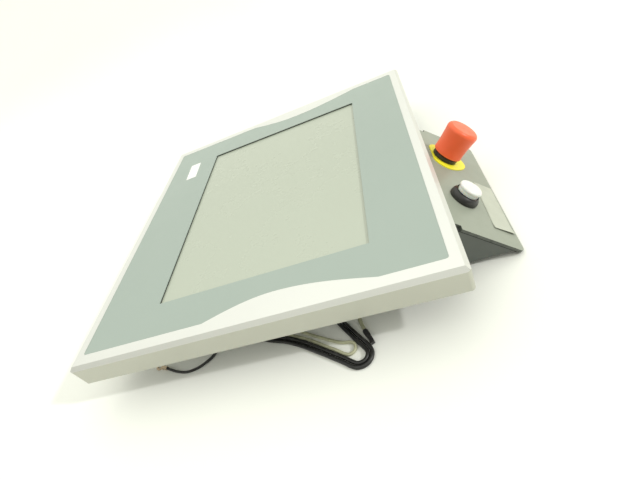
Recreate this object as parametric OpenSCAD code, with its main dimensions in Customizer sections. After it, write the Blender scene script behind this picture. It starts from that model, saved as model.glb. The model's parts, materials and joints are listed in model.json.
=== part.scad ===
// Industrial touch panel with an angled operator box.
// The unit lies on its back: z = 0 is the back of the rear housing, the screen faces +Z, X runs
// towards the operator box and Y along the long side of the screen. Millimetres throughout.

/* [Front frame] */
// Width of the aluminium front frame, along X
frame_w = 401; // [395:1:410]
// Length of the aluminium front frame, along Y
frame_l = 431; // [425:1:440]
// Thickness of the front frame
frame_t = 27; // [25:1:30]
// Chamfer along the front edges of the frame
frame_chamfer = 4; // [2:0.5:5]
// Overall depth from the back of the housing to the front face
unit_depth = 70; // [68:1:74]
// Width of the front foil, along X
foil_w = 375; // [370:1:380]
// Length of the front foil, along Y
foil_l = 399.6; // [394:0.2:404]
// Height of the wave that the frame makes into the foil
wave_h = 16.3; // [8:0.1:20]

/* [Display] */
// Visible screen width, along X
screen_w = 233; // [200:1:235]
// Visible screen length, along Y
screen_l = 307.6; // [280:0.2:310]

/* [Rear housing] */
// Width of the rear housing, along X
housing_w = 280; // [240:2:290]
// Length of the rear housing, along Y
housing_l = 250; // [220:2:252]
// Sheet thickness of the housing
housing_wall = 1.5; // [1:0.5:2.5]
// Spacing of the rear mounting threads
mount_pitch = 100; // [75:25:100]

/* [Operator box] */
// Length of the operator plate, along Y
plate_l = 190; // [180:1:200]
// Distance between the emergency stop and the pushbutton
device_pitch = 77; // [70:1:84]
// Travel of the emergency stop head
estop_travel = 4.5; // [3:0.5:5]
// Travel of the pushbutton
button_travel = 3.5; // [2:0.5:3.5]

/* [Hidden] */

// Heights, measured from the back of the housing
frame_back = unit_depth - frame_t;
foil_t = 0.8;
foil_back = unit_depth - 0.9;
web_back = foil_back - 3.6;
frame_wall = 6;
// Ledge inside the wall that the rear plate is screwed to
ledge = 8;
frame_corner = 4;
screen_gasket_t = 1.4;
glass_front = foil_back - screen_gasket_t;
glass_back = glass_front - 3.2;
gasket_t = 1;
lcd_front = glass_back - gasket_t;
lcd_t = 12.8;
lcd_back = lcd_front - lcd_t;

// The screen sits a little off the middle of the frame
screen_x = 8.5;
screen_y = -2.6;
glass_w = screen_w + 19;
glass_l = screen_l + 19.4;

// The wave: rises from wave_x0 to its crest at wave_x1 and runs out at wave_x2
wave_x0 = -44;
wave_x1 = 31;
wave_x2 = 129;
wave_steps = 26;

// Rear housing
housing_x = -10;
flange = 10;
flange_t = 1.5;
seal_t = 0.5;
cover_t = 2;
flange_back = frame_back - seal_t - flange_t;
rear_plate_t = 2;
cavity_w = frame_w - 2 * frame_wall;
cavity_l = frame_l - 2 * frame_wall;
wall_y = -housing_l / 2;
gland_z = 12;
gland_x = [-60, -42, -22, 0];
gland_reach = 22;
lead_x = -75;
lead_reach = 4;

// Operator plate: its outer edge runs along Y at (plate_x, plate_z) and it rises at 45 degrees
plate_x = 255.6;
plate_z = 2.5;
plate_t = 3;
plate_slope = 80;
plate_y = -59;
plate_cut_x = frame_w / 2 + 0.3;
button_u = -52;
button_y = plate_y - 39;
estop_u = -55;
estop_y = button_y + device_pitch;
device_hole_r = 11.15;
barrel_r = 10.9;
seat_t = 1;
box_wall = 2;
box_x = 165;
box_back = 5;
box_l = plate_l - 4;
root2 = sqrt(2);
// x + z is constant along the sloping face of the box
box_slope_sum = plate_x + plate_z - (plate_t + seat_t) * root2;
grommet_y = [-126, -136, -145];
grommet_z = 12;
grommet_reach = 2;
stud_u = [-19, -60];
stud_inset = 7;

// Emergency stop, along its own axis from the face of the plate
ring_t = 1;
collar_r = 14.6;
collar_top = 6.5;
head_low = 7.2;
head_top = 39.5;
head_waist = 13;
head_waist_r = 16.3;
head_rim_r = 17.9;
head_edge_z = 34.7;
skirt_depth = 6;
stem_r = 6;
fit = 0.05;
// Pushbutton
bezel_r = 15;
bezel_top = 8.3;
bezel_bore = 11.5;
plunger_r = 9;
nut_r = 13.5;
nut_t = 4;

// Cable radii
harness_r = 2;
signal_r = 1.6;
plug_lead_r = 1.9;
earth_r = 1.5;

// Route of the harness, from the housing glands to the operator box: x, y, z and half the
// distance between its two cables
harness_route = [
    [-51, -147, 12, 9], [-48, -158, 7.5, 6], [-40, -166.5, 2.6, 3.2], [-28, -173, 2.1, 2.3],
    [-14, -179.5, 2.1, 2.2], [-2, -184.3, 2.1, 2.2], [14, -189.8, 2.1, 2.2], [34, -200.5, 2.1, 2.2],
    [69, -223.2, 2.1, 2.2], [81.7, -232.2, 2.1, 2.2], [87.1, -234.1, 2.1, 2.2], [92.8, -232.8, 2.1, 2.2],
    [96.8, -228.7, 2.1, 2.2], [98.1, -223.1, 2.1, 2.2], [96.1, -217.6, 2.1, 2.2], [92, -212, 2.1, 2.2],
    [74.5, -188, 2.1, 2.2], [67.5, -175, 2.1, 2.2], [66, -160, 2.1, 2.3], [74, -147, 2.1, 2.3],
    [96, -140.5, 2.1, 2.3], [126, -136, 2.1, 2.6], [148, -132, 5.5, 4], [163, -131, 12, 5]];

// Route of the signal cable: out of the third gland, round its loop and back into the fourth
signal_route = [
    [-22, -147, 12], [-20, -158.5, 6.5], [-11, -168, 1.8], [2, -176, 1.7], [17, -184.3, 1.7],
    [37.4, -195.1, 1.7], [56, -207.3, 1.7], [66, -213.7, 1.7], [74.2, -219.5, 1.7], [79.8, -220.6, 1.7],
    [84.1, -217.1, 1.7], [84.1, -211.5, 1.7], [79.8, -207.9, 1.7], [66, -204.2, 1.7],
    [29, -183.5, 1.7], [12, -171.5, 1.8], [3, -160, 5.5], [0, -147, 12]];

// Route of the lead that ends in the small plug
plug_route = [
    [163, -145, 12], [147, -147, 6.5], [127, -150, 2.1], [106, -154, 2], [94.5, -164, 2],
    [90.8, -179, 2], [92, -190, 2.3], [95.2, -199.5, 2.9]];

// Route of the earth lead, from its grommet to its ring terminal
earth_route = [
    [-75, -129, 12], [-73, -142, 6.5], [-70.5, -155, 1.8], [-71, -170, 1.6], [-77, -185.5, 1.6],
    [-87, -193.6, 1.6], [-97, -197.8, 1.6], [-109, -198.8, 1.6], [-123, -195, 1.8], [-136.6, -188.8, 2.3]];

// ---------------------------------------------------------------- shared shapes

// Flat outline with rounded corners, centred
module rounded_rect(w, l, r) {
    square([w - 2 * r, l], center = true);
    square([w, l - 2 * r], center = true);
    for (sx = [-1, 1], sy = [-1, 1])
        translate([sx * (w / 2 - r), sy * (l / 2 - r)]) circle(r = r, $fn = 48);
}

module slab(w, l, r, z0, z1) {
    translate([0, 0, z0]) linear_extrude(z1 - z0) rounded_rect(w, l, r);
}

// A plain block between two heights, centred on (x, y)
module block(x, y, w, l, z0, z1) {
    translate([x - w / 2, y - l / 2, z0]) cube([w, l, z1 - z0]);
}

// A ring plate with a rectangular window
module window_plate(w, l, win_w, win_l, z0, z1) {
    difference() {
        block(0, 0, w, l, z0, z1);
        block(0, 0, win_w, win_l, z0 - 1, z1 + 1);
    }
}

// A pan-head screw that points up from its head
module screw_up(r, head_r, head_h, length) {
    cylinder(r = head_r, h = head_h, $fn = 32);
    translate([0, 0, head_h]) cylinder(r = r, h = length, $fn = 24);
}

// Places children in the frame of the operator plate: x down the slope to its outer edge, z outwards
module on_plate() {
    translate([plate_x, 0, plate_z]) rotate([0, 45, 0]) children();
}

module at_estop() {
    on_plate() translate([estop_u, estop_y, 0]) children();
}

module at_button() {
    on_plate() translate([button_u, button_y, 0]) children();
}

// How far the frame reaches into the foil at x
function wave(x) =
    x <= wave_x0 || x >= wave_x2 ? 0 :
    x < wave_x1 ? wave_h * sin(90 * (x - wave_x0) / (wave_x1 - wave_x0)) :
    wave_h * cos(90 * (x - wave_x1) / (wave_x2 - wave_x1));

// Points of an arc, for profiles
function arc(cx, cy, r, a0, a1, n) =
    [for (i = [0:n]) let (a = a0 + (a1 - a0) * i / n) [cx + r * cos(a), cy + r * sin(a)]];

// ---------------------------------------------------------------- swept cables

function unit(v) = v / norm(v);
function last(p) = len(p) - 1;
function heading(p, i) = unit(p[min(i + 1, last(p))] - p[max(i - 1, 0)]);
function side_of(t) = unit(cross(t, [0, 0, 1]));

// One of the two harness cables: the middle route moved sideways by its fourth value
function beside(route, sign) =
    let (mid = [for (q = route) [q[0], q[1], q[2]]])
    [for (i = [0:last(route)])
        let (t = heading(mid, i), s = side_of([t[0], t[1], 0]))
        i == 0 ? [mid[0][0] - sign * route[0][3], mid[0][1], mid[0][2]] :
        i == last(route) ? [mid[i][0], mid[i][1] - sign * route[i][3], mid[i][2]] :
        mid[i] + sign * route[i][3] * s];

// The end rings lie flat against what they meet
function ring_normal(p, i, start_dir, end_dir) =
    i == 0 ? start_dir : i == last(p) ? end_dir : heading(p, i);

// A tube of the given radius through the points, with flat ends that face start_dir and end_dir
module swept_cable(p, r, start_dir, end_dir, sides = 8) {
    rings = [for (i = [0:last(p)])
        let (t = ring_normal(p, i, start_dir, end_dir), s = side_of(t), u = cross(s, t))
        for (k = [0:sides - 1])
            p[i] + r * cos(360 * (k + 0.5) / sides) * s + r * sin(360 * (k + 0.5) / sides) * u];
    tiles = [for (i = [0:last(p) - 1], k = [0:sides - 1])
        let (a = i * sides + k, b = i * sides + (k + 1) % sides)
        each [[a, b, b + sides], [a, b + sides, a + sides]]];
    first_cap = [for (k = [0:sides - 1]) sides - 1 - k];
    last_cap = [for (k = [0:sides - 1]) last(p) * sides + k];
    polyhedron(points = rings, faces = concat(tiles, [first_cap], [last_cap]));
}

// ---------------------------------------------------------------- front

module foil_outline(gap) {
    edge = foil_l / 2 - gap;
    difference() {
        rounded_rect(foil_w - 2 * gap, foil_l - 2 * gap, 3);
        for (s = [-1, 1])
            polygon(concat(
                [for (i = [0:wave_steps])
                    let (x = wave_x0 + (wave_x2 - wave_x0) * i / wave_steps) [x, s * (edge - wave(x))]],
                [[wave_x2, s * (edge + 5)], [wave_x0, s * (edge + 5)]]));
    }
}

// Screws of the rear plate, on the ledge; none where the operator box passes under the frame
ledge_x = frame_w / 2 - frame_wall - ledge / 2;
ledge_y = frame_l / 2 - frame_wall - ledge / 2;
ledge_spots = concat(
    [for (y = [-170, -58, 58, 170]) [-ledge_x, y]], [for (y = [-170, 58, 170]) [ledge_x, y]],
    [for (s = [-1, 1], x = [-110, 110]) [x, s * ledge_y]]);

module front_frame() {
    edge_cut = frame_chamfer * root2;
    color("silver")
    difference() {
        slab(frame_w, frame_l, frame_corner, frame_back, unit_depth);
        slab(cavity_w, cavity_l, 3, frame_back - 1, frame_back + rear_plate_t);
        slab(cavity_w - 2 * ledge, cavity_l - 2 * ledge, 3, frame_back - 1, web_back);
        for (s = [-1, 1]) {
            translate([s * frame_w / 2, 0, unit_depth]) rotate([0, 45, 0])
                cube([edge_cut, frame_l + 4, edge_cut], center = true);
            translate([0, s * frame_l / 2, unit_depth]) rotate([45, 0, 0])
                cube([frame_w + 4, edge_cut, edge_cut], center = true);
        }
        translate([0, 0, foil_back]) linear_extrude(2) foil_outline(0);
        block(screen_x, screen_y, glass_w + 0.6, glass_l + 0.6, web_back - 1, unit_depth);
        for (s = ledge_spots)
            translate([s[0], s[1], frame_back]) cylinder(r = 1.55, h = 14, $fn = 24);
        for (s = rail_spots)
            translate([s[0], s[1], web_back - 1]) cylinder(r = 1.3, h = 3.6, $fn = 24);
        for (y = box_screw_y)
            translate([box_screw_x, y, frame_back - 1]) cylinder(r = 2.05, h = 13, $fn = 24);
    }
}

module front_foil() {
    color("darkseagreen")
    translate([0, 0, foil_back])
    linear_extrude(foil_t)
    difference() {
        foil_outline(0.15);
        translate([screen_x, screen_y]) rounded_rect(screen_w, screen_l, 1);
    }
}

// A blank plate stuck on the foil, a little askew
module name_plate() {
    color("whitesmoke")
    translate([-146, 126.8, foil_back + foil_t]) rotate([0, 0, 2.5])
    linear_extrude(0.3) rounded_rect(17.4, 43.4, 1.5);
}

// ---------------------------------------------------------------- display

// Black seal between the foil and the glass, flush with the window
module screen_gasket() {
    color("black")
    translate([screen_x, screen_y, 0])
        window_plate(glass_w, glass_l, screen_w + 0.4, screen_l + 0.4, glass_front, foil_back);
}

module touch_glass() {
    color("beige") block(screen_x, screen_y, glass_w, glass_l, glass_back, glass_front);
}

module touch_gasket() {
    color("dimgray")
    translate([screen_x, screen_y, 0])
        window_plate(glass_w, glass_l, screen_w + 2, screen_l + 2, lcd_front, glass_back);
}

cell_w = screen_w + 8;
cell_l = screen_l + 8;
cell_t = 2;
guide_t = 5;
lcd_w = glass_w + 1.5;
lcd_l = glass_l - 0.5;

module lcd_cell() {
    top = lcd_front - 0.3;
    color("darkslategray") block(screen_x, screen_y, cell_w, cell_l, top - cell_t, top);
}

module light_guide() {
    top = lcd_front - cell_t - 0.5;
    color("ivory") block(screen_x, screen_y, cell_w - 14, cell_l - 4, top - guide_t, top);
}

module backlight_lamps() {
    z = lcd_front - cell_t - 0.5 - guide_t / 2;
    color("white")
    for (s = [-1, 1])
        translate([screen_x + s * (cell_w / 2 - 3.4), screen_y - cell_l / 2 + 3, z])
            rotate([-90, 0, 0]) cylinder(r = 1.3, h = cell_l - 6, $fn = 24);
}

// Pressed metal chassis that holds the cell, the light guide and the lamps
module lcd_chassis() {
    color("gray")
    translate([screen_x, screen_y, 0])
    difference() {
        block(0, 0, lcd_w, lcd_l, lcd_back, lcd_front);
        block(0, 0, cell_w + 0.6, cell_l + 0.6, lcd_front - cell_t - 0.6 - guide_t, lcd_front + 1);
        for (y = [-110, 0, 110])
            block(0, y, 150, 60, lcd_back - 1, lcd_back + 1.5);
    }
}

rail_l = 300;
rail_t = 1.5;
rail_foot = 11;
rail_spots = [for (s = [-1, 1], y = [-130, -45, 45, 130])
    [screen_x + s * (lcd_w / 2 + 0.3 + rail_t + rail_foot / 2), screen_y + y]];

// Folded rails that clamp the display module against the glass
module lcd_rails() {
    inner = lcd_w / 2 + 0.3;
    outline = [[inner - 9, lcd_back - rail_t], [inner + rail_t, lcd_back - rail_t],
        [inner + rail_t, web_back - rail_t], [inner + rail_t + rail_foot, web_back - rail_t],
        [inner + rail_t + rail_foot, web_back], [inner, web_back], [inner, lcd_back], [inner - 9, lcd_back]];
    color("lightgray")
    difference() {
        for (s = [0, 1])
            translate([screen_x, screen_y, 0]) mirror([s, 0, 0])
                translate([0, rail_l / 2, 0]) rotate([90, 0, 0]) linear_extrude(rail_l) polygon(outline);
        for (p = rail_spots)
            translate([p[0], p[1], web_back - 5]) cylinder(r = 1.3, h = 8, $fn = 24);
    }
}

module rail_screws() {
    color("goldenrod")
    for (p = rail_spots)
        translate([p[0], p[1], web_back - rail_t - 1.8]) screw_up(1.25, 2.6, 1.8, 3.4);
}

// A circuit board with blocks on it: parts are [x, y, w, l, h]
module board(x, y, w, l, z, parts) {
    block(x, y, w, l, z, z + board_t);
    for (q = parts)
        block(x + q[0], y + q[1], q[2], q[3], z + board_t - 0.1, z + board_t + q[4]);
}

side_board_z = frame_back + rear_plate_t + 3;

module inverter_board() {
    color("seagreen")
    board(-158, 0, 28, 150, side_board_z,
        [[0, -50, 16, 22, 9], [0, 50, 16, 22, 9], [-2, 0, 14, 30, 6], [4, -20, 6, 8, 4], [4, 20, 6, 8, 4]]);
}

module touch_controller() {
    color("seagreen")
    board(172, 114, 24, 70, side_board_z, [[0, 0, 12, 12, 1.4], [2, 25, 8, 10, 5], [-4, -22, 8, 6, 2]]);
}

// ---------------------------------------------------------------- rear housing

// Closes the back of the frame; the middle is open to the housing, and short posts carry two boards
module rear_plate() {
    top = frame_back + rear_plate_t;
    color("lightgray")
    difference() {
        union() {
            slab(cavity_w - 0.6, cavity_l - 0.6, 2.8, frame_back, top);
            for (p = [[-158, -66], [-158, 66], [172, 86], [172, 142]])
                translate([p[0], p[1], frame_back])
                    cylinder(r = 2.5, h = side_board_z - frame_back, $fn = 24);
        }
        block(housing_x, 0, housing_w - 24, housing_l - 24, frame_back - 1, top + 1);
        for (s = ledge_spots)
            translate([s[0], s[1], frame_back - 1]) cylinder(r = 1.6, h = 5, $fn = 24);
        for (s = flange_spots)
            translate([s[0], s[1], frame_back - 1]) cylinder(r = 1.6, h = 5, $fn = 24);
    }
}

module rear_plate_screws() {
    color("silver")
    for (s = ledge_spots)
        translate([s[0], s[1], frame_back - 2]) screw_up(1.5, 3, 2, 12);
}

flange_spots = [for (sx = [-1, 1], y = [-95, 0, 95]) [housing_x + sx * (housing_w / 2 + flange / 2), y],
    for (sy = [-1, 1], x = [-100, 0, 100]) [housing_x + x, sy * (housing_l / 2 + flange / 2)]];
cover_spots = [for (sx = [-1, 1], sy = [-1, 0, 1])
    [housing_x + sx * (housing_w / 2 - 7), sy * (housing_l / 2 - 7)]];

module housing_gasket() {
    color("black")
    difference() {
        translate([housing_x, 0, 0])
            window_plate(housing_w + 2 * flange, housing_l + 2 * flange, housing_w - 8, housing_l - 8,
                frame_back - seal_t, frame_back);
        for (s = flange_spots)
            translate([s[0], s[1], frame_back - 1]) cylinder(r = 1.6, h = 2, $fn = 24);
    }
}

vent_count = 9;
vent_pitch = 16;

module vents(x0, y, along_x) {
    for (i = [0:vent_count - 1])
        let (d = (i - (vent_count - 1) / 2) * vent_pitch)
            translate(along_x ? [x0 + d, y, 25] : [x0, y + d, 25])
                cube(along_x ? [3, 8, 16] : [8, 3, 16], center = true);
}

module rear_housing() {
    inner_w = housing_w - 2 * housing_wall;
    inner_l = housing_l - 2 * housing_wall;
    color("gainsboro")
    difference() {
        union() {
            difference() {
                translate([housing_x, 0, 0]) union() {
                    slab(housing_w, housing_l, 3, cover_t, flange_back + 0.1);
                    block(0, 0, housing_w + 2 * flange, housing_l + 2 * flange,
                        flange_back, flange_back + flange_t);
                }
                block(housing_x, 0, inner_w, inner_l, cover_t - 1, frame_back + 1);
            }
            for (s = cover_spots)
                let (x = s[0] + 2 * sign(s[0] - housing_x), y = s[1] + 2 * sign(s[1]))
                    block(x, y, 9.5, 9.5, cover_t, cover_t + 9);
        }
        for (s = cover_spots)
            translate([s[0], s[1], cover_t - 1]) cylinder(r = 1.3, h = 9, $fn = 24);
        for (s = flange_spots)
            translate([s[0], s[1], flange_back - 1]) cylinder(r = 1.6, h = 4, $fn = 24);
        for (x = gland_x)
            translate([x, wall_y - 1, gland_z]) rotate([-90, 0, 0]) cylinder(r = 6.1, h = 4, $fn = 32);
        translate([lead_x, wall_y - 1, gland_z]) rotate([-90, 0, 0]) cylinder(r = 3.6, h = 4, $fn = 32);
        vents(housing_x, -wall_y, true);
        vents(housing_x + housing_w / 2, 20, false);
        block(port_x, terminal_y, 6, terminal_l + 0.4, port_z - 0.2, port_z + terminal_h + 0.2);
        block(port_x, socket_y, 6, socket_l + 0.4, port_z - 0.2, port_z + socket_h + 0.2);
    }
}

module housing_screws() {
    color("silver")
    for (s = flange_spots)
        translate([s[0], s[1], flange_back - 2]) screw_up(1.5, 3, 2, 5.5);
}

bush_spots = [for (sx = [-1, 1], sy = [-1, 1]) [sx * mount_pitch / 2, sy * mount_pitch / 2]];
bush_r = 5;
bush_h = 8;
standoff_spots = [for (x = [-128, -28], y = [-78, 92]) [x, y]];
board_z = cover_t + 8;
board_t = 1.6;
board_x = -80;
board_y = 7;
// Sockets in the -X wall stand on the main board and pass through the wall
port_x = housing_x - housing_w / 2;
port_z = board_z + board_t;
port_w = 19;
port_out = 2;
terminal_y = -60;
terminal_l = 25;
terminal_h = 12;
socket_y = 0;
socket_l = 31;
socket_h = 11;
socket_deep = 6;

module rear_cover() {
    color("gainsboro")
    difference() {
        translate([housing_x, 0, 0]) slab(housing_w, housing_l, 3, 0, cover_t);
        for (s = cover_spots) {
            translate([s[0], s[1], -1]) cylinder(r = 1.6, h = 5, $fn = 24);
            translate([s[0], s[1], -1]) cylinder(r = 3.2, h = 2.4, $fn = 24);
        }
        for (s = bush_spots)
            translate([s[0], s[1], -1]) cylinder(r = bush_r - 1, h = 5, $fn = 32);
        for (i = [0:7])
            translate([90, -70 + i * 20, 0]) cube([36, 4, 8], center = true);
    }
}

module cover_screws() {
    color("silver")
    for (s = cover_spots)
        translate([s[0], s[1], 0.1]) screw_up(1.25, 2.9, 1.2, 7);
}

// Threaded bushes pressed into the rear cover: the mounting points
module mount_bushes() {
    color("gold")
    for (s = bush_spots)
        translate([s[0], s[1], 0])
            difference() {
                union() {
                    cylinder(r = bush_r - 1, h = cover_t, $fn = 32);
                    translate([0, 0, cover_t]) cylinder(r = bush_r, h = bush_h - cover_t, $fn = 32);
                }
                translate([0, 0, -1]) cylinder(r = 2, h = bush_h + 2, $fn = 32);
            }
}

module main_board() {
    color("darkgreen")
    difference() {
        board(board_x, board_y, 116, 182, board_z,
            [[0, 20, 36, 36, 2.6], [-30, -40, 30, 30, 4], [34, -74, 20, 20, 2], [40, 76, 12, 30, 6],
             [-34, 66, 24, 30, 8], [30, -10, 14, 22, 2], [-6, -70, 50, 12, 9]]);
        for (s = standoff_spots)
            translate([s[0], s[1], board_z - 1]) cylinder(r = 1.6, h = 4, $fn = 24);
        for (s = [-1, 1])
            translate([-mount_pitch / 2, s * mount_pitch / 2, board_z - 1])
                cylinder(r = bush_r + 1, h = 4, $fn = 32);
    }
}

module board_standoffs() {
    color("gold")
    for (s = standoff_spots)
        translate([s[0], s[1], cover_t])
            difference() {
                cylinder(r = 3, h = board_z - cover_t, $fn = 6);
                translate([0, 0, 3]) cylinder(r = 1.3, h = 8, $fn = 24);
            }
}

module board_screws() {
    color("silver")
    for (s = standoff_spots)
        translate([s[0], s[1], board_z + board_t + 1.8]) mirror([0, 0, 1]) screw_up(1.25, 2.8, 1.8, 5.6);
}

module heat_sink() {
    base = board_z + board_t + 2.6;
    color("silver") {
        block(board_x, board_y + 20, 44, 44, base, base + 3);
        for (i = [-3:3])
            block(board_x + i * 6.4, board_y + 20, 1.6, 44, base + 2.9, base + 17);
    }
}

// Boxed power supply beside the main board, on four feet
module power_supply() {
    foot = 4;
    color("silver") {
        difference() {
            block(90, 10, 58, 130, cover_t + foot, cover_t + 34);
            for (i = [-4:4])
                block(90, 10 + i * 12, 40, 4, cover_t + 32.8, cover_t + 35);
        }
        for (sx = [-1, 1], sy = [-1, 1])
            block(90 + sx * 25, 10 + sy * 61, 6, 6, cover_t, cover_t + foot + 0.1);
    }
}

// Screw terminal for the supply wires, with narrow wire entries
module power_terminal() {
    color("limegreen")
    difference() {
        block(port_x + port_w / 2 - port_out, terminal_y, port_w, terminal_l, port_z, port_z + terminal_h);
        for (i = [-2:2])
            translate([port_x - port_out - 1, terminal_y + i * 4.6, port_z + 4]) rotate([0, 90, 0])
                cylinder(r = 1.4, h = 9, $fn = 24);
    }
}

// Data socket; its hollow faces -X
module data_socket() {
    color("lightsteelblue")
    difference() {
        block(port_x + port_w / 2 - port_out, socket_y, port_w, socket_l, port_z, port_z + socket_h);
        block(port_x - port_out, socket_y, 2 * socket_deep, 17, port_z + 2, port_z + socket_h - 2);
    }
}

// ---------------------------------------------------------------- cable entries

// A cable gland on the housing wall, pointing to -Y; its mouth closes on the cable
module gland() {
    rotate([90, 0, 0]) {
        translate([0, 0, 0]) cylinder(r = 8.4, h = 5, $fn = 6);
        rotate_extrude($fn = 48)
            polygon(concat([[0, 4.9], [7.2, 4.9], [7.2, 13]],
                arc(3.2, 13, 4, 0, 75, 6), [[3.2, 18], [3.2, gland_reach], [0, gland_reach]]));
        translate([0, 0, -8]) cylinder(r = 6, h = 8.1, $fn = 32);
    }
}

module cable_glands() {
    color("dimgray")
    for (x = gland_x)
        translate([x, wall_y, gland_z]) gland();
}

module gland_nuts() {
    color("gray")
    for (x = gland_x)
        translate([x, wall_y + housing_wall, gland_z]) rotate([-90, 0, 0])
            difference() {
                cylinder(r = 8.4, h = 4, $fn = 6);
                translate([0, 0, -1]) cylinder(r = 6.05, h = 6, $fn = 32);
            }
}

module lead_grommet() {
    color("black")
    translate([lead_x, wall_y, gland_z]) rotate([90, 0, 0])
        rotate_extrude($fn = 32)
            polygon([[0, -3], [5, -3], [5, -housing_wall], [3.5, -housing_wall], [3.5, 0], [5, 0], [5, 1.5],
                [2.6, lead_reach], [0, lead_reach]]);
}

// ---------------------------------------------------------------- operator box

box_screw_x = frame_w / 2 - 3;
box_screw_y = [plate_y - 81, plate_y, plate_y + 81];

module box_profile(inset) {
    top = frame_back - inset;
    side = frame_w / 2 + 0.1 + inset;
    sum = box_slope_sum - inset * root2;
    polygon([[box_x + inset, box_back + inset], [sum - box_back - inset, box_back + inset],
        [side, sum - side], [side, top], [box_x + inset, top]]);
}

module box_solid(inset, length) {
    translate([0, plate_y + length / 2, 0]) rotate([90, 0, 0]) linear_extrude(length) box_profile(inset);
}

module at_studs() {
    for (u = stud_u, s = [-1, 1])
        on_plate() translate([u, plate_y + s * (box_l / 2 - stud_inset), 0]) children();
}

module operator_box() {
    color("dimgray")
    difference() {
        box_solid(0, box_l);
        box_solid(box_wall, box_l - 2 * box_wall);
        on_plate() translate([-67, plate_y - box_l / 2 + 13, -7]) cube([43, box_l - 26, 7]);
        at_studs() translate([0, 0, -12]) cylinder(r = 1.6, h = 12, $fn = 24);
        at_estop() {
            translate([0, 0, -20]) cylinder(r = barrel_r + 0.4, h = 20, $fn = 64);
            translate([0, 0, -plate_t - nut_t - 0.3]) cylinder(r = nut_r + 0.4, h = 8, $fn = 64);
        }
        for (y = box_screw_y)
            translate([box_screw_x, y, frame_back - 5]) cylinder(r = 2.1, h = 8, $fn = 24);
        for (y = grommet_y)
            translate([box_x - 1, y, grommet_z]) rotate([0, 90, 0]) cylinder(r = 3.1, h = 5, $fn = 24);
    }
}

module box_screws() {
    color("silver")
    for (y = box_screw_y)
        translate([box_screw_x, y, frame_back - box_wall - 3]) screw_up(2, 3.5, 3, 11);
}

module box_grommets() {
    color("black")
    for (y = grommet_y)
        translate([box_x, y, grommet_z]) rotate([0, 90, 0])
            rotate_extrude($fn = 32)
                polygon([[0, -grommet_reach], [3.6, -grommet_reach], [4.2, 0], [3, 0], [3, box_wall],
                    [4.2, box_wall], [4.2, box_wall + 1.2], [0, box_wall + 1.2]]);
}

// Seal under the plate; it stops just short of the edge of the plate
module plate_gasket() {
    gasket_l = plate_l - 1;
    color("black")
    difference() {
        on_plate() translate([-plate_slope, plate_y - gasket_l / 2, -plate_t - seat_t])
            cube([plate_slope - 7, gasket_l, seat_t]);
        on_plate() translate([-70, plate_y - box_l / 2 + 11, -plate_t - 2]) cube([44, box_l - 22, 4]);
        translate([plate_cut_x - 30, plate_y - 120, 0]) cube([30.4, 240, 90]);
        at_studs() translate([0, 0, -6]) cylinder(r = 1.6, h = 5, $fn = 24);
    }
}

// Sloping plate with rounded outer corners and notched inner corners
module operator_plate() {
    notch_u = -70;
    notch_l = 5;
    outer_r = 5;
    color("darkseagreen")
    difference() {
        union() {
            on_plate() translate([0, plate_y, -plate_t]) linear_extrude(plate_t) {
                translate([-plate_slope, -plate_l / 2]) square([plate_slope - outer_r, plate_l]);
                translate([-2 * outer_r, -plate_l / 2 + outer_r])
                    square([2 * outer_r, plate_l - 2 * outer_r]);
                for (s = [-1, 1])
                    translate([-outer_r, s * (plate_l / 2 - outer_r)]) circle(r = outer_r, $fn = 48);
            }
            at_studs() translate([0, 0, -9.6]) cylinder(r = 1.5, h = 8, $fn = 24);
        }
        for (s = [-1, 1])
            on_plate() translate([notch_u - 10, plate_y + s * plate_l / 2, 0])
                cube([20, 2 * notch_l, 20], center = true);
        at_estop() translate([0, 0, -6]) cylinder(r = device_hole_r, h = 10, $fn = 64);
        at_button() translate([0, 0, -6]) cylinder(r = device_hole_r, h = 10, $fn = 64);
        translate([plate_cut_x - 30, plate_y - 120, 0]) cube([30, 240, 90]);
    }
}

module plate_nuts() {
    color("silver")
    at_studs() translate([0, 0, -plate_t - seat_t - box_wall - 2.4])
        difference() {
            cylinder(r = 3.1, h = 2.4, $fn = 6);
            translate([0, 0, -1]) cylinder(r = 1.53, h = 5, $fn = 24);
        }
}

// A blank paper label, stuck on a little askew
module plate_label() {
    color("lightyellow")
    on_plate() translate([-14, -92.7, 0]) rotate([0, 0, -1.2])
        linear_extrude(0.3) rounded_rect(23.6, 79, 0.6);
}

// ---------------------------------------------------------------- emergency stop

// Yellow base plate with three soft lobes; the barrel passes through it off centre, and its side
// next to the frame is cut straight
module estop_ring() {
    shift = [2.7, 0.7];
    flat = -19.2;
    color("yellow")
    at_estop()
    linear_extrude(ring_t)
    difference() {
        translate(shift)
            polygon([for (a = [0:5:355]) let (r = 23.6 + 1.6 * cos(3 * (a - 2)))
                [max(r * cos(a), flat), r * sin(a)]]);
        circle(r = barrel_r + 0.1, $fn = 64);
    }
}

// Collar and threaded barrel in one piece, with the bore that guides the plunger
module estop_collar() {
    color("black")
    at_estop()
    rotate_extrude($fn = 64)
        polygon([[stem_r, -19], [barrel_r, -19], [barrel_r, ring_t], [collar_r - 0.4, ring_t],
            [collar_r, ring_t + 0.6], [collar_r, collar_top - 1], [collar_r - 1, collar_top],
            [stem_r, collar_top]]);
}

module locknut() {
    difference() {
        translate([0, 0, -plate_t - nut_t]) cylinder(r = nut_r, h = nut_t, $fn = 12);
        translate([0, 0, -plate_t - 6]) cylinder(r = barrel_r + 0.05, h = 8, $fn = 64);
    }
}

module estop_locknut() {
    color("dimgray") at_estop() locknut();
}

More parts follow.
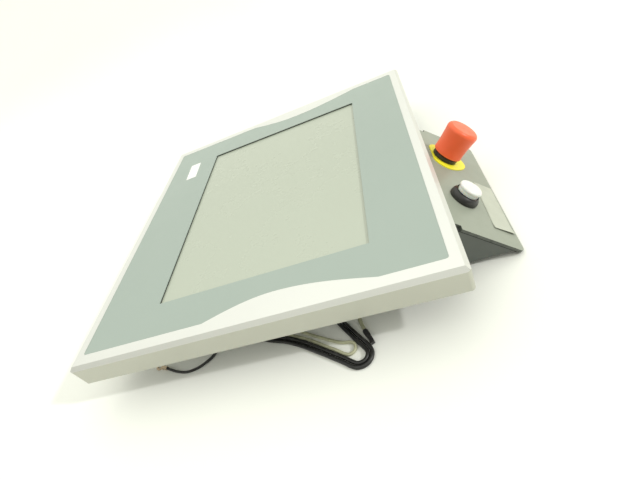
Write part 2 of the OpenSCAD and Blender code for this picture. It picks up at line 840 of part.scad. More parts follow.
// Contact block with a pit for the moving stem and its terminal slots
module contact_block(top, pit_r, pit_depth) {
    difference() {
        translate([-11, -15, -33]) cube([22, 30, top + 33]);
        translate([0, 0, top - pit_depth]) cylinder(r = pit_r, h = pit_depth + 1, $fn = 48);
        for (y = [-9, 0, 9])
            translate([-12, y - 2, -31]) cube([5, 4, 6]);
    }
}

module estop_block() {
    color("dimgray") at_estop() contact_block(-19.1, stem_r + 0.4, estop_travel + 4.5);
}

module estop_plunger() {
    color("gray")
    at_estop() {
        translate([0, 0, -23]) cylinder(r = stem_r - fit, h = 23 + 12.7, $fn = 64);
        translate([0, 0, 12.6]) cylinder(r = 4 - fit, h = 10, $fn = 48);
    }
}

// Radius of the head at a height: slightly wider at the skirt, waisted, then flared to the rim
function head_r(h) =
    h > head_waist ?
    head_waist_r + (head_rim_r - head_waist_r) * pow((h - head_waist) / (head_edge_z - head_waist), 1.5) :
    head_waist_r + 0.3 * (head_waist - h) / (head_waist - head_low);

module estop_head() {
    edge = 4.6;
    steps = 12;
    foot = head_low + 0.6;
    cavity_top = head_low + skirt_depth;
    side = [for (i = [0:steps]) let (h = foot + (head_edge_z - foot) * i / steps) [head_r(h), h]];
    dome = concat(arc(head_rim_r - edge, head_edge_z, edge, 10, 74, 6), [[8, head_top - 0.2], [0, head_top]]);
    color("orangered")
    at_estop()
    rotate_extrude($fn = 96)
        polygon(concat([[collar_r + 0.5, head_low], [16.2, head_low]], side, dome,
            [[0, 23.2], [4, 23.2], [4, cavity_top], [collar_r + 0.5, cavity_top]]));
}

// ---------------------------------------------------------------- pushbutton

module button_bezel() {
    color("black")
    at_button()
    rotate_extrude($fn = 64)
        polygon(concat([[plunger_r, -18], [barrel_r, -18], [barrel_r, 0], [bezel_r - 0.3, 0],
            [bezel_r, 0.5], [bezel_r, 2.2]], arc(bezel_r - 6, 2.2, 6, 0, 62, 6),
            [[12.2, bezel_top], [bezel_bore, bezel_top - 0.5], [bezel_bore, 1], [plunger_r, 1]]));
}

module button_locknut() {
    color("dimgray") at_button() locknut();
}

module button_block() {
    color("dimgray") at_button() contact_block(-18.1, plunger_r + 0.4, button_travel + 2);
}

module button_lamp() {
    color("ivory")
    at_button()
    rotate_extrude($fn = 32)
        polygon(concat([[0, -23.6], [4, -23.6], [4, -6]], arc(0, -6, 4, 0, 90, 6)));
}

module button_plunger() {
    color("whitesmoke")
    at_button()
    difference() {
        translate([0, 0, -19.5]) cylinder(r = plunger_r - fit, h = 24.4, $fn = 64);
        translate([0, 0, -20]) cylinder(r = 5, h = 22, $fn = 48);
    }
}

// Raised translucent lens with a soft flared rim
module button_lens() {
    color("white")
    at_button()
    rotate_extrude($fn = 64)
        polygon(concat([[0, 4.9], [10.8, 4.9], [10.8, 10.5], [11.2, 12], [11.9, 12.5]],
            arc(10.1, 12.9, 1.8, 0, 80, 5), [[6, 14.9], [0, 15]]));
}

// ---------------------------------------------------------------- cables

toward_front = [0, -1, 0];

module harness_cable_a() {
    color("black") swept_cable(beside(harness_route, 1), harness_r, toward_front, [1, 0, 0]);
}

module harness_cable_b() {
    color("black") swept_cable(beside(harness_route, -1), harness_r, toward_front, [1, 0, 0]);
}

module signal_cable() {
    color("darkgray") swept_cable(signal_route, signal_r, toward_front, [0, 1, 0]);
}

plug_dir = unit([6.6, -14.8, 0]);
plug_tip = plug_route[last(plug_route)];

module along_plug() {
    translate(plug_tip) rotate([0, 0, atan2(plug_dir[1], plug_dir[0])]) rotate([0, 90, 0]) children();
}

module plug_lead() {
    color("darkgray") swept_cable(plug_route, plug_lead_r, [-1, 0, 0], plug_dir);
}

// Shrink sleeve that joins the lead to its plug
module plug_sleeve() {
    color("black")
    along_plug() rotate_extrude($fn = 32) polygon([[0, 0], [2.2, 0], [2.6, 1], [2.6, 7], [0, 7]]);
}

module plug_body() {
    color("black")
    along_plug() {
        translate([-2.4, -2.2, 7]) cube([4.8, 4.4, 7]);
        translate([-1.9, -1.8, 13.9]) cube([3.8, 3.6, 3.1]);
    }
}

earth_dir = unit([-12, 5.5, 0]);
earth_tip = earth_route[last(earth_route)];

module earth_lead() {
    color("black") swept_cable(earth_route, earth_r, toward_front, earth_dir);
}

// Crimped ring terminal, flat on the surface
module earth_terminal() {
    lift = 0.1 - earth_tip[2];
    color("tan")
    translate(earth_tip) rotate([0, 0, atan2(earth_dir[1], earth_dir[0])])
        difference() {
            union() {
                rotate([0, 90, 0]) cylinder(r = 2.1, h = 7.5, $fn = 32);
                translate([7, -2.3, lift]) cube([5, 4.6, 1.2]);
                translate([14.5, 0, lift]) cylinder(r = 4.6, h = 1.2, $fn = 48);
            }
            translate([14.5, 0, lift - 1]) cylinder(r = 2.3, h = 4, $fn = 32);
        }
}

// ---------------------------------------------------------------- node switch

front_frame();
front_foil();
name_plate();
screen_gasket();
touch_glass();
touch_gasket();
lcd_cell();
light_guide();
backlight_lamps();
lcd_chassis();
lcd_rails();
rail_screws();
inverter_board();
touch_controller();
rear_plate();
rear_plate_screws();
housing_gasket();
rear_housing();
housing_screws();
rear_cover();
cover_screws();
mount_bushes();
main_board();
board_standoffs();
board_screws();
heat_sink();
power_supply();
power_terminal();
data_socket();
cable_glands();
gland_nuts();
lead_grommet();
operator_box();
box_screws();
box_grommets();
plate_gasket();
operator_plate();
plate_nuts();
plate_label();
estop_ring();
estop_collar();
estop_locknut();
estop_block();
estop_plunger();
estop_head();
button_bezel();
button_locknut();
button_block();
button_lamp();
button_plunger();
button_lens();
harness_cable_a();
harness_cable_b();
signal_cable();
plug_lead();
plug_sleeve();
plug_body();
earth_lead();
earth_terminal();
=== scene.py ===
"""Industrial touch panel with an angled operator box: materials, cables, light and camera."""
import json
import math

import bmesh
import bpy
from mathutils import Matrix, Vector


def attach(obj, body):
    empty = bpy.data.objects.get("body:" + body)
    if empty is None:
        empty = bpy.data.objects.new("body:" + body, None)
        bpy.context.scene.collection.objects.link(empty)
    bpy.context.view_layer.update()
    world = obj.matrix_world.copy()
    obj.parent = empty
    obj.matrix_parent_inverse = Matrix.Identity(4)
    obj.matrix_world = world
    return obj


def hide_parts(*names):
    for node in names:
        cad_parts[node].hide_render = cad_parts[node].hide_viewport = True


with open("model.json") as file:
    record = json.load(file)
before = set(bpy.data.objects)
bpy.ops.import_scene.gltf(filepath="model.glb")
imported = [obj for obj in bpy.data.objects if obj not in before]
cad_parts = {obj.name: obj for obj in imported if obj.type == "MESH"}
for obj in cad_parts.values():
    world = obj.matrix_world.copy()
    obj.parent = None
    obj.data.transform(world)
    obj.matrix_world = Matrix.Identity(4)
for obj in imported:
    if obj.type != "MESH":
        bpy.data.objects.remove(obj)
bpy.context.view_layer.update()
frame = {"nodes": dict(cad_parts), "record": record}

MM = 0.001
scene = bpy.context.scene


def new_object(name, data):
    ob = bpy.data.objects.new(name, data)
    scene.collection.objects.link(ob)
    return ob


# ------------------------------------------------------------------ camera

# Where the camera stands, in mm, and which way its right side and its back point
CAMERA_PLACE = Vector((180.2, -427.42, 313.38))
CAMERA_RIGHT = Vector((0.92343, 0.00851, -0.38367))
CAMERA_BACK = Vector((0.26196, -0.74458, 0.61399))
CAMERA_LENS = 22.636
SENSOR_WIDTH = 36.0


def make_camera():
    cam = new_object("camera", bpy.data.cameras.new("camera"))
    cam.data.sensor_width = SENSOR_WIDTH
    cam.data.lens = CAMERA_LENS
    cam.data.clip_start, cam.data.clip_end = 0.01, 30.0
    back = CAMERA_BACK.normalized()
    up = back.cross(CAMERA_RIGHT.normalized()).normalized()
    right = up.cross(back)
    rot = Matrix((right, up, back)).transposed()
    cam.matrix_world = Matrix.Translation(CAMERA_PLACE * MM) @ rot.to_4x4()
    scene.camera = cam


make_camera()


# ------------------------------------------------------------------ shader helpers

class Nodes:
    """A small wrapper that builds one material's node tree."""

    # Sockets of a colour mix: its factor, its two colours and its result
    FACTOR, FIRST, SECOND, RESULT = 0, 6, 7, 2

    def __init__(self, name):
        self.mat = bpy.data.materials.new(name)
        self.mat.use_nodes = True
        self.tree = self.mat.node_tree
        self.bsdf = self.tree.nodes["Principled BSDF"]
        self.coord = self.add("ShaderNodeTexCoord")

    def add(self, kind, **values):
        node = self.tree.nodes.new(kind)
        for key, value in values.items():
            setattr(node, key, value)
        return node

    def link(self, a, b):
        self.tree.links.new(a, b)

    def socket(self, name, value):
        self.bsdf.inputs[name].default_value = value

    def scaled(self, scale):
        mapping = self.add("ShaderNodeMapping")
        mapping.inputs["Scale"].default_value = scale
        self.link(self.coord.outputs["Object"], mapping.inputs["Vector"])
        return mapping.outputs["Vector"]

    def noise(self, scale, detail=4.0, rough=0.55, stretch=(1, 1, 1)):
        tex = self.add("ShaderNodeTexNoise")
        tex.inputs["Scale"].default_value = scale
        tex.inputs["Detail"].default_value = detail
        tex.inputs["Roughness"].default_value = rough
        self.link(self.scaled(stretch), tex.inputs["Vector"])
        return tex.outputs["Fac"]

    def cells(self, scale):
        tex = self.add("ShaderNodeTexVoronoi")
        tex.inputs["Scale"].default_value = scale
        self.link(self.scaled((1, 1, 1)), tex.inputs["Vector"])
        return tex.outputs["Distance"]

    def ramp(self, fac, stops):
        node = self.add("ShaderNodeValToRGB")
        ends = node.color_ramp.elements
        while len(ends) < len(stops):
            ends.new(0.5)
        for end, (pos, colour) in zip(ends, stops):
            end.position = pos
            end.color = (*colour, 1.0)
        self.link(fac, node.inputs["Fac"])
        return node.outputs["Color"]

    def remap(self, fac, low, high, out_low, out_high):
        node = self.add("ShaderNodeMapRange")
        limits = (low, high, out_low, out_high)
        for name, value in zip(("From Min", "From Max", "To Min", "To Max"), limits):
            node.inputs[name].default_value = value
        self.link(fac, node.inputs["Value"])
        return node.outputs["Result"]

    def mix(self, fac, a, b):
        node = self.add("ShaderNodeMix", data_type="RGBA")
        for value, index in ((fac, self.FACTOR), (a, self.FIRST), (b, self.SECOND)):
            if hasattr(value, "is_linked"):
                self.link(value, node.inputs[index])
            elif index == self.FACTOR:
                node.inputs[index].default_value = value
            else:
                node.inputs[index].default_value = (*value, 1.0)
        return node.outputs[self.RESULT]

    def bump(self, height, distance, strength=0.5, after=None):
        node = self.add("ShaderNodeBump")
        node.inputs["Distance"].default_value = distance
        node.inputs["Strength"].default_value = strength
        self.link(height, node.inputs["Height"])
        if after is not None:
            self.link(after, node.inputs["Normal"])
        return node.outputs["Normal"]

    def edge_wear(self, colour, worn, amount):
        """Mixes a worn colour in along edges, broken up by noise."""
        reach = 0.6 * MM
        rounded = self.add("ShaderNodeBevel", samples=4)
        rounded.inputs["Radius"].default_value = reach
        facing = self.add("ShaderNodeVectorMath", operation="DOT_PRODUCT")
        self.link(rounded.outputs["Normal"], facing.inputs[0])
        self.link(self.add("ShaderNodeNewGeometry").outputs["Normal"], facing.inputs[1])
        edge = self.remap(facing.outputs["Value"], 0.8, 0.98, amount, 0.0)
        patch = self.remap(self.noise(220.0), 0.4, 0.7, 0.0, 1.0)
        both = self.add("ShaderNodeMath", operation="MULTIPLY")
        self.link(edge, both.inputs[0])
        self.link(patch, both.inputs[1])
        return self.mix(both.outputs[0], colour, worn)

    def finish(self, colour, rough, normal=None):
        self.link(colour, self.bsdf.inputs["Base Color"])
        if hasattr(rough, "is_linked"):
            self.link(rough, self.bsdf.inputs["Roughness"])
        else:
            self.socket("Roughness", rough)
        if normal is not None:
            self.link(normal, self.bsdf.inputs["Normal"])
        return self.mat


def tones(colour, spread):
    """The colour a little darker and a little lighter."""
    return (tuple(max(0.0, c * (1 - spread)) for c in colour),
            tuple(min(1.0, c * (1 + spread)) for c in colour))


def mottled(n, colour, spread, scale):
    """The colour with soft darker and lighter patches."""
    dark, light = tones(colour, spread)
    return n.ramp(n.noise(scale), [(0.3, dark), (0.7, light)])


# ------------------------------------------------------------------ materials

def blasted_aluminium():
    n = Nodes("blasted_aluminium")
    n.socket("Metallic", 0.55)
    n.socket("Coat Weight", 0.12)
    n.socket("Coat Roughness", 0.35)
    # Painted light and shade: faces looking up (+Z) get a light copy of the aluminium, and faces turned
    # away get a darker, yellower copy that is painted shade and painted warm bounce light on the frame's
    # sides.
    face = mottled(n, (0.765, 0.77, 0.735), 0.014, 5.0)
    side = mottled(n, (0.53, 0.535, 0.465), 0.02, 9.0)
    facing = n.add("ShaderNodeSeparateXYZ")
    n.link(n.add("ShaderNodeNewGeometry").outputs["Normal"], facing.inputs[0])
    # The normal's Z blends the painted shade of the sides into the lit top colour.
    base = n.mix(n.remap(facing.outputs["Z"], 0.1, 0.97, 0.0, 1.0), side, face)
    rubbed = n.ramp(n.noise(34.0, 6.0, 0.7, (1, 0.22, 1)), [(0.52, (0, 0, 0)), (0.72, (1, 1, 1))])
    base = n.mix(n.remap(rubbed, 0.0, 1.0, 0.0, 0.06), base, (0.70, 0.70, 0.66))
    base = n.edge_wear(base, (0.95, 0.95, 0.93), 0.6)
    rough = n.remap(n.noise(60.0, 5.0, 0.6), 0.3, 0.7, 0.43, 0.49)
    grain = n.bump(n.noise(2600.0, 2.0), 0.00006, 0.35)
    return n.finish(base, rough, n.bump(n.noise(7.0, 2.0), 0.0002, 0.03, grain))


def foil_print():
    n = Nodes("foil_print")
    base = mottled(n, (0.348, 0.412, 0.368), 0.018, 4.0)
    haze = n.remap(n.noise(3.2, 3.0, 0.5, (1, 0.4, 1)), 0.35, 0.75, 0.0, 0.16)
    base = n.mix(haze, base, (0.41, 0.465, 0.415))
    rough = n.remap(n.noise(25.0, 6.0, 0.65), 0.3, 0.75, 0.30, 0.46)
    n.socket("Specular IOR Level", 0.5)
    texture = n.bump(n.noise(1500.0, 2.0, 0.5), 0.00005, 0.4)
    return n.finish(base, rough, n.bump(n.noise(16.0, 3.0), 0.0002, 0.08, texture))


def screen_glass():
    """The touch glass: a matt film over a display that is switched off."""
    n = Nodes("screen_glass")
    darker, lighter = (0.435, 0.475, 0.385), (0.458, 0.498, 0.408)
    base = n.ramp(n.noise(2.4, 2.0, 0.4), [(0.3, darker), (0.7, lighter)])
    smear = n.remap(n.noise(14.0, 5.0, 0.7, (1, 0.35, 1)), 0.5, 0.8, 0.0, 0.05)
    base = n.mix(smear, base, (0.60, 0.63, 0.54))
    specks = n.remap(n.cells(60.0), 0.0, 0.03, 0.12, 0.0)
    base = n.mix(specks, base, (0.72, 0.74, 0.66))
    rough = n.remap(n.noise(9.0, 6.0, 0.7), 0.3, 0.75, 0.20, 0.36)
    n.socket("Coat Weight", 0.5)
    n.socket("Coat Roughness", 0.28)
    return n.finish(base, rough, n.bump(n.noise(1400.0, 2.0), 0.00002, 0.12))


def sheet_metal(name, colour, metallic=0.9, rough=(0.32, 0.5), stretch=(1, 1, 1)):
    n = Nodes(name)
    n.socket("Metallic", metallic)
    base = mottled(n, colour, 0.07, 30.0)
    base = n.edge_wear(base, tuple(min(1.0, c * 1.25) for c in colour), 0.4)
    lines = n.noise(260.0, 3.0, 0.5, stretch)
    return n.finish(base, n.remap(lines, 0.3, 0.7, *rough), n.bump(lines, 0.00004, 0.3))


def powder_coat(name, colour, worn):
    n = Nodes(name)
    base = mottled(n, colour, 0.022, 9.0)
    dust = n.remap(n.noise(5.0, 5.0, 0.65), 0.5, 0.8, 0.0, 0.07)
    base = n.mix(dust, base, tuple(min(1.0, c * 1.35 + 0.02) for c in colour))
    base = n.edge_wear(base, worn, 0.55)
    peel = n.bump(n.noise(900.0, 2.0, 0.5), 0.00012, 0.35)
    return n.finish(base, n.remap(n.noise(70.0), 0.3, 0.7, 0.42, 0.56), peel)


def plate_paint():
    """Light satin paint on the sloping face of the operator plate; its cut edges are dark."""
    n = Nodes("plate_paint")
    face = mottled(n, (0.298, 0.322, 0.26), 0.02, 8.0)
    dust = n.remap(n.noise(5.0, 5.0, 0.65), 0.5, 0.8, 0.0, 0.08)
    face = n.mix(dust, face, (0.42, 0.44, 0.36))
    face = n.edge_wear(face, (0.60, 0.61, 0.52), 0.4)
    edge = mottled(n, (0.085, 0.095, 0.080), 0.35, 240.0)
    slope = n.add("ShaderNodeVectorMath", operation="DOT_PRODUCT")
    slope.inputs[1].default_value = (math.sqrt(0.5), 0.0, math.sqrt(0.5))
    n.link(n.add("ShaderNodeNewGeometry").outputs["Normal"], slope.inputs[0])
    base = n.mix(n.remap(slope.outputs["Value"], 0.72, 0.9, 0.0, 1.0), edge, face)
    peel = n.bump(n.noise(1300.0, 2.0, 0.5), 0.0001, 0.3)
    return n.finish(base, n.remap(n.noise(70.0), 0.3, 0.7, 0.36, 0.48), peel)


def plastic(name, colour, rough=(0.3, 0.45), spread=0.08, grain=1400.0, coat=0.0):
    n = Nodes(name)
    base = mottled(n, colour, spread, 40.0)
    dust = n.remap(n.noise(11.0, 6.0, 0.7), 0.55, 0.8, 0.0, 0.10)
    base = n.mix(dust, base, tuple(min(1.0, c + 0.25) for c in colour))
    if coat:
        n.socket("Coat Weight", coat)
        n.socket("Coat Roughness", 0.12)
    fine = n.bump(n.noise(grain, 2.0), 0.00006, 0.4)
    return n.finish(base, n.remap(n.noise(90.0), 0.3, 0.7, *rough), fine)


def red_head():
    """Moulded red plastic, a little chalky from light and handling."""
    n = Nodes("red_head")
    base = mottled(n, (0.94, 0.125, 0.03), 0.04, 45.0)
    chalk = n.remap(n.noise(26.0, 5.0, 0.65), 0.45, 0.8, 0.0, 0.22)
    base = n.mix(chalk, base, (0.90, 0.25, 0.085))
    base = n.edge_wear(base, (0.92, 0.32, 0.16), 0.5)
    n.socket("Coat Weight", 0.25)
    n.socket("Coat Roughness", 0.3)
    rough = n.remap(n.noise(120.0), 0.3, 0.7, 0.34, 0.5)
    return n.finish(base, rough, n.bump(n.noise(1600.0, 2.0), 0.00005, 0.35))


def white_lens():
    n = Nodes("white_lens")
    base = mottled(n, (0.78, 0.79, 0.75), 0.03, 60.0)
    grime = n.remap(n.noise(150.0, 5.0, 0.7), 0.55, 0.8, 0.0, 0.25)
    base = n.mix(grime, base, (0.62, 0.62, 0.56))
    n.socket("Subsurface Weight", 0.25)
    n.socket("Subsurface Scale", 0.003)
    n.socket("Coat Weight", 0.4)
    n.socket("Coat Roughness", 0.2)
    fine = n.bump(n.noise(900.0, 2.0), 0.00004, 0.3)
    return n.finish(base, n.remap(n.noise(80.0), 0.3, 0.7, 0.3, 0.42), fine)


def label_paper():
    """A blank coated label, with faint grey fibres and scuffs but nothing printed."""
    n = Nodes("label_paper")
    base = mottled(n, (0.49, 0.51, 0.425), 0.04, 55.0)
    scuff = n.remap(n.noise(380.0, 4.0, 0.7, (1, 0.3, 1)), 0.55, 0.75, 0.0, 0.3)
    base = n.mix(scuff, base, (0.47, 0.49, 0.41))
    fibres = n.bump(n.noise(700.0, 3.0), 0.00006, 0.4)
    return n.finish(base, n.remap(n.noise(120.0), 0.3, 0.7, 0.4, 0.6), fibres)


def circuit_board():
    n = Nodes("circuit_board")
    mask = n.ramp(n.cells(420.0), [(0.15, (0.02, 0.12, 0.05)), (0.4, (0.03, 0.20, 0.08))])
    n.socket("Coat Weight", 0.5)
    n.socket("Coat Roughness", 0.15)
    rough = n.remap(n.noise(200.0), 0.3, 0.7, 0.3, 0.45)
    return n.finish(mask, rough, n.bump(n.cells(700.0), 0.00008, 0.4))


def clear_glass(name, tint):
    n = Nodes(name)
    base = mottled(n, tint, 0.03, 20.0)
    n.socket("Transmission Weight", 0.6)
    rough = n.remap(n.noise(60.0), 0.3, 0.7, 0.05, 0.12)
    return n.finish(base, rough, n.bump(n.noise(300.0), 0.00002, 0.2))


def cable_jacket(name, colour):
    """Smooth extruded jacket with dust in its low spots and fine lengthwise marks."""
    n = Nodes(name)
    base = mottled(n, colour, 0.18, 120.0)
    dust = n.remap(n.noise(60.0, 6.0, 0.7), 0.5, 0.8, 0.0, 0.16)
    base = n.mix(dust, base, tuple(min(1.0, c + 0.16) for c in colour))
    marks = n.bump(n.noise(1200.0, 3.0), 0.00008, 0.35)
    return n.finish(base, n.remap(n.noise(300.0), 0.3, 0.7, 0.34, 0.5), marks)


def foam():
    n = Nodes("foam")
    base = n.ramp(n.cells(1500.0), [(0.1, (0.012, 0.012, 0.012)), (0.5, (0.04, 0.04, 0.038))])
    return n.finish(base, 0.85, n.bump(n.cells(1500.0), 0.0002, 0.6))


MATERIALS = {
    "frame_aluminium": blasted_aluminium(),
    "foil": foil_print(),
    "blank_white": plastic("blank_white", (0.88, 0.88, 0.86), (0.25, 0.4), 0.02, 700.0, coat=0.2),
    "screen_glass": screen_glass(),
    "foam": foam(),
    "display_cell": clear_glass("display_cell", (0.10, 0.12, 0.12)),
    "acrylic": clear_glass("acrylic", (0.90, 0.92, 0.88)),
    "lamp_glass": clear_glass("lamp_glass", (0.93, 0.93, 0.90)),
    "sheet_steel": sheet_metal("sheet_steel", (0.55, 0.56, 0.55), stretch=(1, 0.04, 1)),
    "screw_steel": sheet_metal("screw_steel", (0.62, 0.62, 0.58), rough=(0.25, 0.45)),
    "circuit_board": circuit_board(),
    "housing_paint": powder_coat("housing_paint", (0.55, 0.57, 0.52), (0.72, 0.73, 0.70)),
    "brass_bush": sheet_metal("brass_bush", (0.72, 0.55, 0.24), 1.0, (0.2, 0.38)),
    "heat_sink_aluminium": sheet_metal(
        "heat_sink_aluminium", (0.66, 0.67, 0.68), 1.0, stretch=(1, 0.05, 1)),
    "terminal_green": plastic("terminal_green", (0.06, 0.30, 0.10)),
    "gland_plastic": plastic("gland_plastic", (0.045, 0.047, 0.046), (0.38, 0.52)),
    "grommet_rubber": plastic("grommet_rubber", (0.018, 0.018, 0.018), (0.5, 0.7), 0.2, 900.0),
    "box_paint": powder_coat("box_paint", (0.115, 0.128, 0.115), (0.30, 0.31, 0.28)),
    "plate_paint": plate_paint(),
    "label_paper": label_paper(),
    "yellow_plastic": plastic("yellow_plastic", (0.93, 0.86, 0.035), (0.35, 0.5), 0.04),
    "black_plastic": plastic("black_plastic", (0.022, 0.021, 0.020), (0.32, 0.5), 0.25),
    "red_plastic": red_head(),
    "white_lens": white_lens(),
    "white_plastic": plastic("white_plastic", (0.80, 0.80, 0.76)),
    "cable_black": cable_jacket("cable_black", (0.018, 0.018, 0.017)),
    "cable_grey": cable_jacket("cable_grey", (0.46, 0.46, 0.31)),
    "tinned_copper": sheet_metal("tinned_copper", (0.60, 0.48, 0.34), 0.95, (0.25, 0.42)),
}


def paint(ob, slot_name):
    ob.data.materials.clear()
    ob.data.materials.append(MATERIALS[slot_name])


def paint_cad_nodes():
    for part in frame["record"]["subparts"]:
        paint(frame["nodes"][part["node"]], part["material_slot"])


paint_cad_nodes()


# ------------------------------------------------------------------ soft edges on the CAD pieces

def soften(node, width):
    """Rounds the node's edges where its faces turn by over 32 degrees; the width is in mm."""
    mod = frame["nodes"][node].modifiers.new("soft_edges", "BEVEL")
    mod.width = width * MM
    mod.segments = 3
    mod.limit_method = "ANGLE"
    mod.angle_limit = math.radians(32)
    mod.use_clamp_overlap = True


for node_name, edge in (
        ("front_frame", 0.5), ("operator_plate", 0.4), ("operator_box", 0.6), ("rear_housing", 0.4),
        ("rear_cover", 0.35), ("estop_collar", 0.25), ("name_plate", 0.1), ("estop_ring", 0.2),
        ("cable_glands", 0.3), ("plug_body", 0.5)):
    soften(node_name, edge)


# ------------------------------------------------------------------ label on the operator plate

PLATE_CORNER = Vector((255.6, 0.0, 2.5))
PLATE_SLOPE = math.radians(45)


def plate_matrix():
    """From the plate's own frame (x down the slope, z outwards) to the part's frame, in metres."""
    return Matrix.Translation(PLATE_CORNER * MM) @ Matrix.Rotation(PLATE_SLOPE, 4, "Y")


def make_label():
    """The blank label, with its free end lifted a little off the plate."""
    width, length, thick, sheet = 23.6, 79.0, 0.3, 0.28
    curl_reach, curl_height, inner_share = 13.0, 1.7, 0.35
    columns, rows, crowding = 12, 60, 1.3
    centre, turn = Vector((-14.0, -92.7, 0.0)), math.radians(-1.2)
    place = plate_matrix() @ Matrix.Translation(centre * MM) @ Matrix.Rotation(turn, 4, "Z")
    bm = bmesh.new()
    grid = []
    for j in range(rows + 1):
        y = -length / 2 + length * (j / rows) ** crowding
        free = max(0.0, 1 - (y + length / 2) / curl_reach)
        line = []
        for i in range(columns + 1):
            x = width * (i / columns - 0.5)
            lift = curl_height * free ** 2 * (inner_share + (1 - inner_share) * i / columns)
            line.append(bm.verts.new(place @ (Vector((x, y, thick + lift)) * MM)))
        grid.append(line)
    for a, b in zip(grid, grid[1:]):
        for i in range(columns):
            bm.faces.new((a[i], a[i + 1], b[i + 1], b[i]))
    mesh = bpy.data.meshes.new("blank_label")
    bm.to_mesh(mesh)
    bm.free()
    for poly in mesh.polygons:
        poly.use_smooth = True
    label = new_object("blank_label", mesh)
    body = label.modifiers.new("paper", "SOLIDIFY")
    body.thickness = sheet * MM
    body.offset = -1
    mesh.materials.append(MATERIALS["label_paper"])
    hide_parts("plate_label")
    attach(label, "panel")


make_label()


# ------------------------------------------------------------------ cables

def smooth_route(points):
    """Catmull-Rom points through the route, so that a cable has no corners."""
    per_span = 4
    pts = [Vector(p) for p in points]
    ext = [2 * pts[0] - pts[1]] + pts + [2 * pts[-1] - pts[-2]]
    out = []
    for i in range(1, len(ext) - 2):
        a, b, c, d = ext[i - 1:i + 3]
        for k in range(per_span):
            t = k / per_span
            out.append(0.5 * (2 * b + (c - a) * t + (2 * a - 5 * b + 4 * c - d) * t * t
                              + (3 * b - a - 3 * c + d) * t ** 3))
    out.append(pts[-1])
    return out


def cable(name, points, radius, slot_name, nodes):
    """A limp cable along a route in mm; it stands for the CAD nodes and stays above the floor."""
    path = smooth_route([Vector(p) * MM for p in points])
    low = radius * MM * 1.01
    path = [Vector((p.x, p.y, max(p.z, low))) for p in path]
    curve = bpy.data.curves.new(name, "CURVE")
    curve.dimensions = "3D"
    curve.bevel_depth = radius * MM
    curve.bevel_resolution = 5
    curve.use_fill_caps = True
    spline = curve.splines.new("POLY")
    spline.points.add(len(path) - 1)
    for point, p in zip(spline.points, path):
        point.co = (*p, 1.0)
    spline.use_smooth = True
    ob = new_object(name, curve)
    ob.data.materials.append(MATERIALS[slot_name])
    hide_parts(*nodes)
    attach(ob, "panel")


# The route of the harness: x, y, z and half the distance between its two cables
HARNESS = [
    (-51, -147, 12, 9), (-48, -158, 7.5, 6), (-40, -166.5, 2.6, 3.2), (-28, -173, 2.1, 2.3),
    (-14, -179.5, 2.1, 2.2), (-2, -184.3, 2.1, 2.2), (14, -189.8, 2.1, 2.2), (34, -200.5, 2.1, 2.2),
    (69, -223.2, 2.1, 2.2), (81.7, -232.2, 2.1, 2.2), (87.1, -234.1, 2.1, 2.2), (92.8, -232.8, 2.1, 2.2),
    (96.8, -228.7, 2.1, 2.2), (98.1, -223.1, 2.1, 2.2), (96.1, -217.6, 2.1, 2.2), (92, -212, 2.1, 2.2),
    (74.5, -188, 2.1, 2.2), (67.5, -175, 2.1, 2.2), (66, -160, 2.1, 2.3), (74, -147, 2.1, 2.3),
    (96, -140.5, 2.1, 2.3), (126, -136, 2.1, 2.6), (148, -132, 5.5, 4), (163, -131, 12, 5)]
SIGNAL = [
    (-22, -147, 12), (-20, -158.5, 6.5), (-11, -168, 1.8), (2, -176, 1.7), (17, -184.3, 1.7),
    (37.4, -195.1, 1.7), (56, -207.3, 1.7), (66, -213.7, 1.7), (74.2, -219.5, 1.7), (79.8, -220.6, 1.7),
    (84.1, -217.1, 1.7), (84.1, -211.5, 1.7), (79.8, -207.9, 1.7), (66, -204.2, 1.7),
    (29, -183.5, 1.7), (12, -171.5, 1.8), (3, -160, 5.5), (0, -147, 12)]
PLUG_LEAD = [
    (163, -145, 12), (147, -147, 6.5), (127, -150, 2.1), (106, -154, 2), (94.5, -164, 2),
    (90.8, -179, 2), (92, -190, 2.3), (95.2, -199.5, 2.9)]
EARTH = [
    (-75, -129, 12), (-73, -142, 6.5), (-70.5, -155, 1.8), (-71, -170, 1.6), (-77, -185.5, 1.6),
    (-87, -193.6, 1.6), (-97, -197.8, 1.6), (-109, -198.8, 1.6), (-123, -195, 1.8), (-136.6, -188.8, 2.3)]


def harness_strand(sign):
    """One cable of the pair: the middle route moved sideways by its fourth value."""
    mid = [Vector(q[:3]) for q in HARNESS]
    out = []
    for i, (m, q) in enumerate(zip(mid, HARNESS)):
        t = mid[min(i + 1, len(mid) - 1)] - mid[max(i - 1, 0)]
        side = Vector((t.y, -t.x, 0)).normalized()
        if i == 0:
            side = Vector((-1, 0, 0))
        if i == len(mid) - 1:
            side = Vector((0, -1, 0))
        out.append(m + sign * q[3] * side)
    return out


cable("harness_jacket_a", harness_strand(1), 2.0, "cable_black", ["harness_cable_a"])
cable("harness_jacket_b", harness_strand(-1), 2.0, "cable_black", ["harness_cable_b"])
cable("signal_jacket", SIGNAL, 1.6, "cable_grey", ["signal_cable"])
cable("plug_lead_jacket", PLUG_LEAD, 1.9, "cable_grey", ["plug_lead"])
cable("earth_jacket", EARTH, 1.5, "cable_black", ["earth_lead"])


# ------------------------------------------------------------------ floor and light

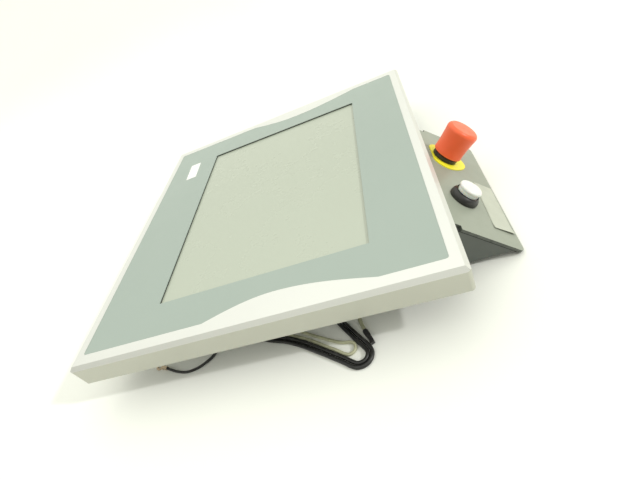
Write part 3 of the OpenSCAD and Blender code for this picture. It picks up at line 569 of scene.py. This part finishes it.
def make_floor():
    """Pale floor that bends up far behind the object into a slope."""
    front, start, bend, slope, run = -2.4, 1.2, 1.0, 35, 3.5
    left, right, steps = -5.0, 4.0, 8
    rows = [(front, 0.0), (start, 0.0)]
    for k in range(1, steps + 1):
        a = math.radians(slope * k / steps)
        rows.append((start + bend * math.sin(a), bend * (1 - math.cos(a))))
    y, z = rows[-1]
    rows.append((y + run * math.cos(math.radians(slope)), z + run * math.sin(math.radians(slope))))
    bm = bmesh.new()
    strips = [[bm.verts.new((x, y, z)) for x in (left, right)] for y, z in rows]
    for a, b in zip(strips, strips[1:]):
        bm.faces.new((a[0], a[1], b[1], b[0]))
    mesh = bpy.data.meshes.new("floor")
    bm.to_mesh(mesh)
    bm.free()
    for poly in mesh.polygons:
        poly.use_smooth = True
    floor = new_object("floor", mesh)
    n = Nodes("floor_paper")
    colour = n.ramp(n.noise(1.5, 2.0), [(0.3, (0.91, 0.915, 0.865)), (0.7, (0.93, 0.935, 0.885))])
    mesh.materials.append(n.finish(colour, 0.8, n.bump(n.noise(300.0), 0.0001, 0.1)))


def make_surround():
    """A pale room: brightest overhead, dim at the horizon and a little darker on the -Y side."""
    horizon, overhead = 0.2, 1.5
    world = bpy.data.worlds.new("studio")
    scene.world = world
    world.use_nodes = True
    tree = world.node_tree
    back = tree.nodes["Background"]
    back.inputs["Color"].default_value = (1.0, 1.01, 0.93, 1.0)
    coord = tree.nodes.new("ShaderNodeTexCoord")
    axes = tree.nodes.new("ShaderNodeSeparateXYZ")
    tree.links.new(coord.outputs["Generated"], axes.inputs["Vector"])
    product = tree.nodes.new("ShaderNodeMath")
    product.operation = "MULTIPLY"
    # Axis, the direction's value where the span starts, and the strength at its two ends
    spans = (("Z", 0.0, horizon, overhead), ("Y", -1.0, 0.7, 1.3))
    for slot, (axis, start, low, high) in enumerate(spans):
        ramp = tree.nodes.new("ShaderNodeMapRange")
        for name, value in zip(("From Min", "From Max", "To Min", "To Max"), (start, 1.0, low, high)):
            ramp.inputs[name].default_value = value
        tree.links.new(axes.outputs[axis], ramp.inputs["Value"])
        tree.links.new(ramp.outputs["Result"], product.inputs[slot])
    tree.links.new(product.outputs["Value"], back.inputs["Strength"])


def make_light():
    """One low sun from the +X side, on top of the surround."""
    make_surround()
    direction = Vector((-1.6, 0.24, -1.0))
    data = bpy.data.lights.new("key", "SUN")
    data.energy = 1.2
    data.angle = math.radians(3)
    key = new_object("key", data)
    key.rotation_euler = direction.to_track_quat("-Z", "Y").to_euler()
    scene.view_settings.view_transform = "Standard"


make_floor()
make_light()
